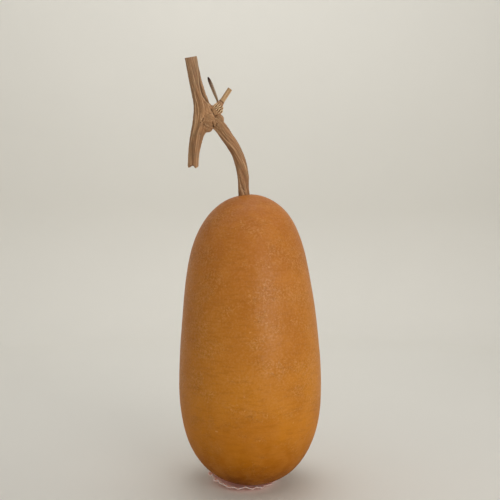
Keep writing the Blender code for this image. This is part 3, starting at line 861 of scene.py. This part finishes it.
def budPaint():
    finish = bud["finish"]
    paint = Paint("budAndStraw", Specular_IOR_Level=0.35)
    hollow = paint.stored("hollow")
    bits = paint.grain(900)
    ragged = 0.5 * (bits - 0.5)
    # painted highlight on the crests and lips of the scales, painted shade in their hollows and gaps
    scales = paint.layers(
        paint.ramp(hollow + 0.3 * (bits - 0.5), *finish["scales"]), finish,
        lips=paint.stored("lips") + ragged, gaps=paint.stored("gaps") + ragged,
        sheath=paint.stored("sheath"))
    streaks = paint.grain(1100, 3.0, 0.6, paint.stored("stubGrain", "Vector"))
    straw = paint.ramp(streaks, *finish["straw"])
    straw = paint.layers(straw, finish, groove=hollow, bore=paint.stored("bore"))
    colour = paint.mix(paint.stored("onStub"), scales, straw)
    colour = paint.layers(colour, finish, joint=paint.stored("joint"))
    return paint.feed(
        Base_Color=colour, Roughness=0.58 + 0.2 * bits, Normal=paint.bump(streaks, finish["bump"]))


# Tendril

tendril = {
    "route": (
        (-0.0325, 0.001, 0.3765, 0.0008), (-0.0329, 0.0016, 0.3808, 0.0008),
        (-0.0343, 0.0022, 0.3848, 0.0011), (-0.0361, 0.0027, 0.3891, 0.0013),
        (-0.038, 0.0031, 0.3938, 0.0014), (-0.04, 0.0034, 0.399, 0.0015),
        (-0.0414, 0.0035, 0.4022, 0.0012), (-0.0422, 0.0035, 0.4041, 0.0008),
        (-0.0427, 0.0035, 0.4049, 0.0003),
    ),
    "flatness": 0.24, "twist": 22.0, "fluteTwist": 66.0, "steps": 150, "sides": 32,
    "flutes": ((3, 1.0), (5, 1.0), (8, 0.6)), "fluteDrift": 260.0, "grooveRadius": 0.88, "fluteHeight": 0.26,
    "unevenness": 0.00008, "unevenSize": 0.0012, "hollow": (4, 0.0001),
    "finish": {
        # from the bud to the tip
        "alongIt": (
            (0.18, (0.26, 0.165, 0.07)), (0.42, (0.3, 0.18, 0.095)), (0.72, (0.19, 0.098, 0.055)),
            (0.88, (0.12, 0.06, 0.038)), (0.96, (0.04, 0.024, 0.02)),
        ),
        # paler ridges are partly pale streaks and partly painted highlight; darker grooves are painted shade
        "pale": (0.55, (0.52, 0.42, 0.32), 0.46, 0.22),
        "groove": (0.6, (0.05, 0.026, 0.014), 0.5, 0.9), "bump": 0.00012,
    },
}


def makeTendril():
    flutes = waves(41, tendril["flutes"], tendril["fluteDrift"])

    def outline(around, along):
        flat = 1 + tendril["flatness"] * np.cos(2 * (around + tendril["twist"] * along))
        fluted = flutes(around + tendril["fluteTwist"] * along, along)
        return flat * (tendril["grooveRadius"] + tendril["fluteHeight"] * fluted)

    mesh = swept("tendrilThread", tendril["route"], tendril["steps"], tendril["sides"], outline)
    points = pointsOf(mesh)
    along, around, _ = branchField(points, tendril["route"])
    height = tendril["unevenness"] * perlin(points, tendril["unevenSize"], 9)
    pushOut(mesh, height)
    store(mesh, hollow=hollows(mesh, *tendril["hollow"]), along=along / along.max(),
          threadGrain=grainPlace(along, around))
    shadeSmooth(mesh)
    return addPiece("tendrilThread", mesh, tendrilPaint())


def tendrilPaint():
    finish = tendril["finish"]
    paint = Paint("shrivelledThread", Specular_IOR_Level=0.3)
    streaks = paint.grain(1300, 3.0, 0.6, paint.stored("threadGrain", "Vector"))
    along, hollow = paint.stored("along"), paint.stored("hollow")
    # all but the tip is paler on its ridges, partly pale streaks and partly painted highlight, and darker in
    # its grooves, painted shade
    body = paint.between(along, 0.9, 0.7)
    colour = paint.ramp(along + 0.3 * (streaks - 0.5), *finish["alongIt"])
    colour = paint.layers(colour, finish, body, pale=hollow)
    colour = paint.layers(colour, finish, groove=hollow)
    return paint.feed(
        Base_Color=colour, Roughness=0.6 + 0.2 * streaks, Normal=paint.bump(streaks, finish["bump"]))


# Cloth: a thin round with a gathered rim

cloth = {
    "flatRadius": 0.017, "rimRadius": 0.0345, "rimHeight": 0.0068,
    "shift": (-0.0068, 0.0024), "lift": (-0.0024, 0.0024), "curve": 1.5, "flatter": 0.6,
    "lowAt": math.radians(236), "lowBy": 0.0018, "lowSpread": 0.24,
    "ruffles": 19, "ruffleHeight": 0.00075, "flare": 0.9,
    "fullness": 0.5, "fullnessSwing": 0.45, "fullestAt": math.radians(200),
    # uneven gathers: waves round the rim, each (size, number, phase)
    "spacing": ((1.9, 3, 0.4), (1.1, 5, 0.0)), "height": ((0.4, 4, 1.0), (0.3, 7, 2.0)),
    "smallGathers": 0.3, "smallDrift": 1.3, "edgeWander": 0.0005, "creases": 0.0001, "creaseLean": 14.0,
    "thickness": 0.0005, "rings": 48, "sides": 480, "innermost": 0.03, "cutAcross": 0.08,
    # places across the hem are in widths of it
    "hemWidth": 0.0022, "hemRoll": 0.0009,
    "hemMiddle": 0.35, "hemSpread": 0.5, "hemReach": 4.0, "rimSpread": 1.1,
    "finish": {
        "pinks": ((0.3, (0.84, 0.42, 0.35)), (0.7, (0.92, 0.5, 0.43))),
        "weave": (0.25, (0.96, 0.6, 0.53)), "rim": (0.9, (0.99, 0.66, 0.6)),
        "weaveScale": 480.0, "bump": 0.00012,
    },
}


def makeCloth():
    angle = np.linspace(0, 2 * math.pi, cloth["sides"], endpoint=False)[None]
    out = np.stack([np.cos(angle), np.sin(angle)], axis=-1)
    rim = cloth["rimRadius"] + out @ np.array(cloth["shift"])
    rimHeight = cloth["rimHeight"] + out @ np.array(cloth["lift"])
    rimHeight = rimHeight - cloth["lowBy"] * bell(angle - cloth["lowAt"], cloth["lowSpread"])
    share = np.linspace(cloth["innermost"], 1, cloth["rings"])[:, None]
    radius = share * rim
    rise = np.maximum(0, (radius - cloth["flatRadius"]) / (rim - cloth["flatRadius"]))

    def wavy(terms):
        return sum(size * np.sin(number * angle + phase) for size, number, phase in terms)

    phase = cloth["ruffles"] * angle + wavy(cloth["spacing"])
    small = cloth["smallGathers"] * np.cos(2 * phase + cloth["smallDrift"] * np.sin(4 * angle)) * rise
    fullness = cloth["fullness"] + cloth["fullnessSwing"] * np.cos(angle - cloth["fullestAt"])
    size = 1 + wavy(cloth["height"])
    wave = cloth["ruffleHeight"] * fullness * rise * size * (np.cos(phase) + small)
    toRim = (rim - radius) / cloth["hemWidth"]
    fromHem = np.minimum(toRim, cloth["hemReach"]) - cloth["hemMiddle"]
    hem = cloth["hemRoll"] * bell(fromHem, cloth["hemSpread"])
    base = cloth["thickness"]
    # the sheet curves up and then levels out towards its rim
    climb = rise ** cloth["curve"] * (1 - cloth["flatter"]) + smoothStep(0, 1, rise) * cloth["flatter"]
    height = base + (rimHeight - base) * climb + wave + hem
    height += cloth["creases"] * rise * np.cos(3 * phase + cloth["creaseLean"] * rise)
    radius = radius - cloth["flare"] * wave + cloth["edgeWander"] * rise * np.sin(2 * phase + 1)
    rings = np.concatenate([radius[..., None] * out, height[..., None]], axis=-1)
    mesh = meshFromGrid("ruffledCloth", rings, closeLast=False)
    if normalsOf(mesh)[:, 2].mean() < 0:
        mesh.flip_normals()
    store(mesh, rim=np.append(bell(toRim + 0 * angle, cloth["rimSpread"]), 0.0))
    shadeSmooth(mesh)
    piece = addPiece("ruffledCloth", mesh, clothPaint())
    thicken = piece.modifiers.new("thicken", "SOLIDIFY")
    thicken.thickness = cloth["thickness"]
    thicken.offset = -1.0
    applyModifiers(piece)
    return piece


def clothPaint():
    # thin cloth, which lets some light through; its faint glow in its own colour is painted light that
    # brightens its shaded side
    finish = cloth["finish"]
    paint = Paint("pinkCloth", Specular_IOR_Level=0.15, Emission_Strength=0.075,
                  Subsurface_Weight=0.8, Subsurface_Radius=(1.0, 0.6, 0.5), Subsurface_Scale=0.005)
    across, down = (
        paint.node("ShaderNodeTexWave", {"bands_direction": way}, {
            "Vector": paint.place, "Scale": finish["weaveScale"]}) for way in "XY")
    weave = across * down
    colour = paint.ramp(paint.grain(160), *finish["pinks"])
    colour = paint.layers(colour, finish, weave=weave, rim=paint.stored("rim"))
    return paint.feed(Base_Color=colour, Emission_Color=colour, Roughness=0.85 + 0.1 * weave,
                      Normal=paint.bump(weave, finish["bump"]))


# Stage: a pale floor that turns up into a wall all round, soft light, and the camera

stage = {
    "wallRadius": 1.3, "bend": 0.35, "wallHeight": 1.9, "bendSteps": 24, "sides": 128, "middle": 0.002,
    "colour": (0.8, 0.78, 0.728), "cloudShade": 0.96,
    "cameraX": -0.0003, "cameraHeight": 0.2364, "cameraDistance": 0.63, "cameraTilt": 0.455, "lens": 45.36,
    "world": (0.95, 0.97, 1.0), "worldStrength": 0.72, "lampSpread": math.radians(140),
    # each light: place, aim, size, power, colour
    "lights": {
        "window": ((0.52, -0.745, 0.334), (0.0, 0.0, 0.2), 0.6, 1.8, (1.0, 0.985, 0.96)),
        "side": ((0.88, -0.24, 0.32), (0.0, 0.0, 0.2), 0.45, 0.23, (1.0, 0.985, 0.96)),
        "backdrop": ((0.0, 0.3, 1.5), (0.0, 1.2, 0.35), 0.9, 4.5, (1.0, 0.99, 0.97)),
    },
}


def makeStage():
    turn = np.linspace(0, math.pi / 2, stage["bendSteps"])
    flat = stage["wallRadius"] - stage["bend"]
    bent = flat + stage["bend"] * np.sin(turn)
    radius = np.concatenate([[stage["middle"], flat / 2], bent, [stage["wallRadius"]]])
    height = np.concatenate([[0, 0], stage["bend"] * (1 - np.cos(turn)), [stage["wallHeight"]]])
    angle = np.linspace(0, 2 * math.pi, stage["sides"], endpoint=False)[None]
    rings = np.stack([radius[:, None] * np.cos(angle), radius[:, None] * np.sin(angle),
                      height[:, None] + 0 * angle], axis=-1)
    mesh = meshFromGrid("studioFloor", rings, closeLast=False)
    shadeSmooth(mesh)
    paint = Paint("paleStudio", Specular_IOR_Level=0.2, Roughness=0.9)
    darker = [v * stage["cloudShade"] for v in stage["colour"]]
    clouded = paint.mix(paint.grain(3.0, 2.0), (*darker, 1), (*stage["colour"], 1))
    floor = addPiece("studioFloor", mesh, paint.feed(Base_Color=clouded))


def makeLights():
    world = bpy.data.worlds.new("studioAir")
    world.use_nodes = True
    background = world.node_tree.nodes["Background"]
    background.inputs["Color"].default_value = (*stage["world"], 1)
    background.inputs["Strength"].default_value = stage["worldStrength"]
    bpy.context.scene.world = world
    for name, (place, aim, size, power, colour) in stage["lights"].items():
        data = bpy.data.lights.new(name, "AREA")
        data.shape = "DISK"
        data.size, data.energy, data.color = size, power, colour
        data.spread = stage["lampSpread"]
        lamp = bpy.data.objects.new(name, data)
        bpy.context.scene.collection.objects.link(lamp)
        lamp.location = place
        lamp.visible_camera = False
        lamp.rotation_euler = (Vector(aim) - lamp.location).to_track_quat("-Z", "Y").to_euler()


def makeCamera():
    data = bpy.data.cameras.new("photoView")
    data.lens = stage["lens"]
    data.sensor_width = 36.0
    camera = bpy.data.objects.new("photoView", data)
    bpy.context.scene.collection.objects.link(camera)
    camera.location = (stage["cameraX"], -stage["cameraDistance"], stage["cameraHeight"])
    camera.rotation_euler = (math.radians(90 - stage["cameraTilt"]), 0, 0)
    bpy.context.scene.camera = camera
    bpy.context.scene.view_settings.view_transform = "Standard"


makeStage()
makeLights()
makeCamera()
print("stage, lights and camera ready")

pieces = {
    "gourd_body": (makeFruit, "gourd_skin"),
    "stalk_and_vine": (makeWood, "dry_vine"),
    "leaf_stalk": (makeBud, "straw_stalk"),
    "tendril": (makeTendril, "dark_tendril"),
    "cloth_pad": (makeCloth, "pink_cloth"),
}
for node, (make, finish) in pieces.items():
    piece = make()
    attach(piece, "root")
    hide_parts(node)
    print(f"{piece.name}: {len(piece.data.vertices)} points, in place of {node}")
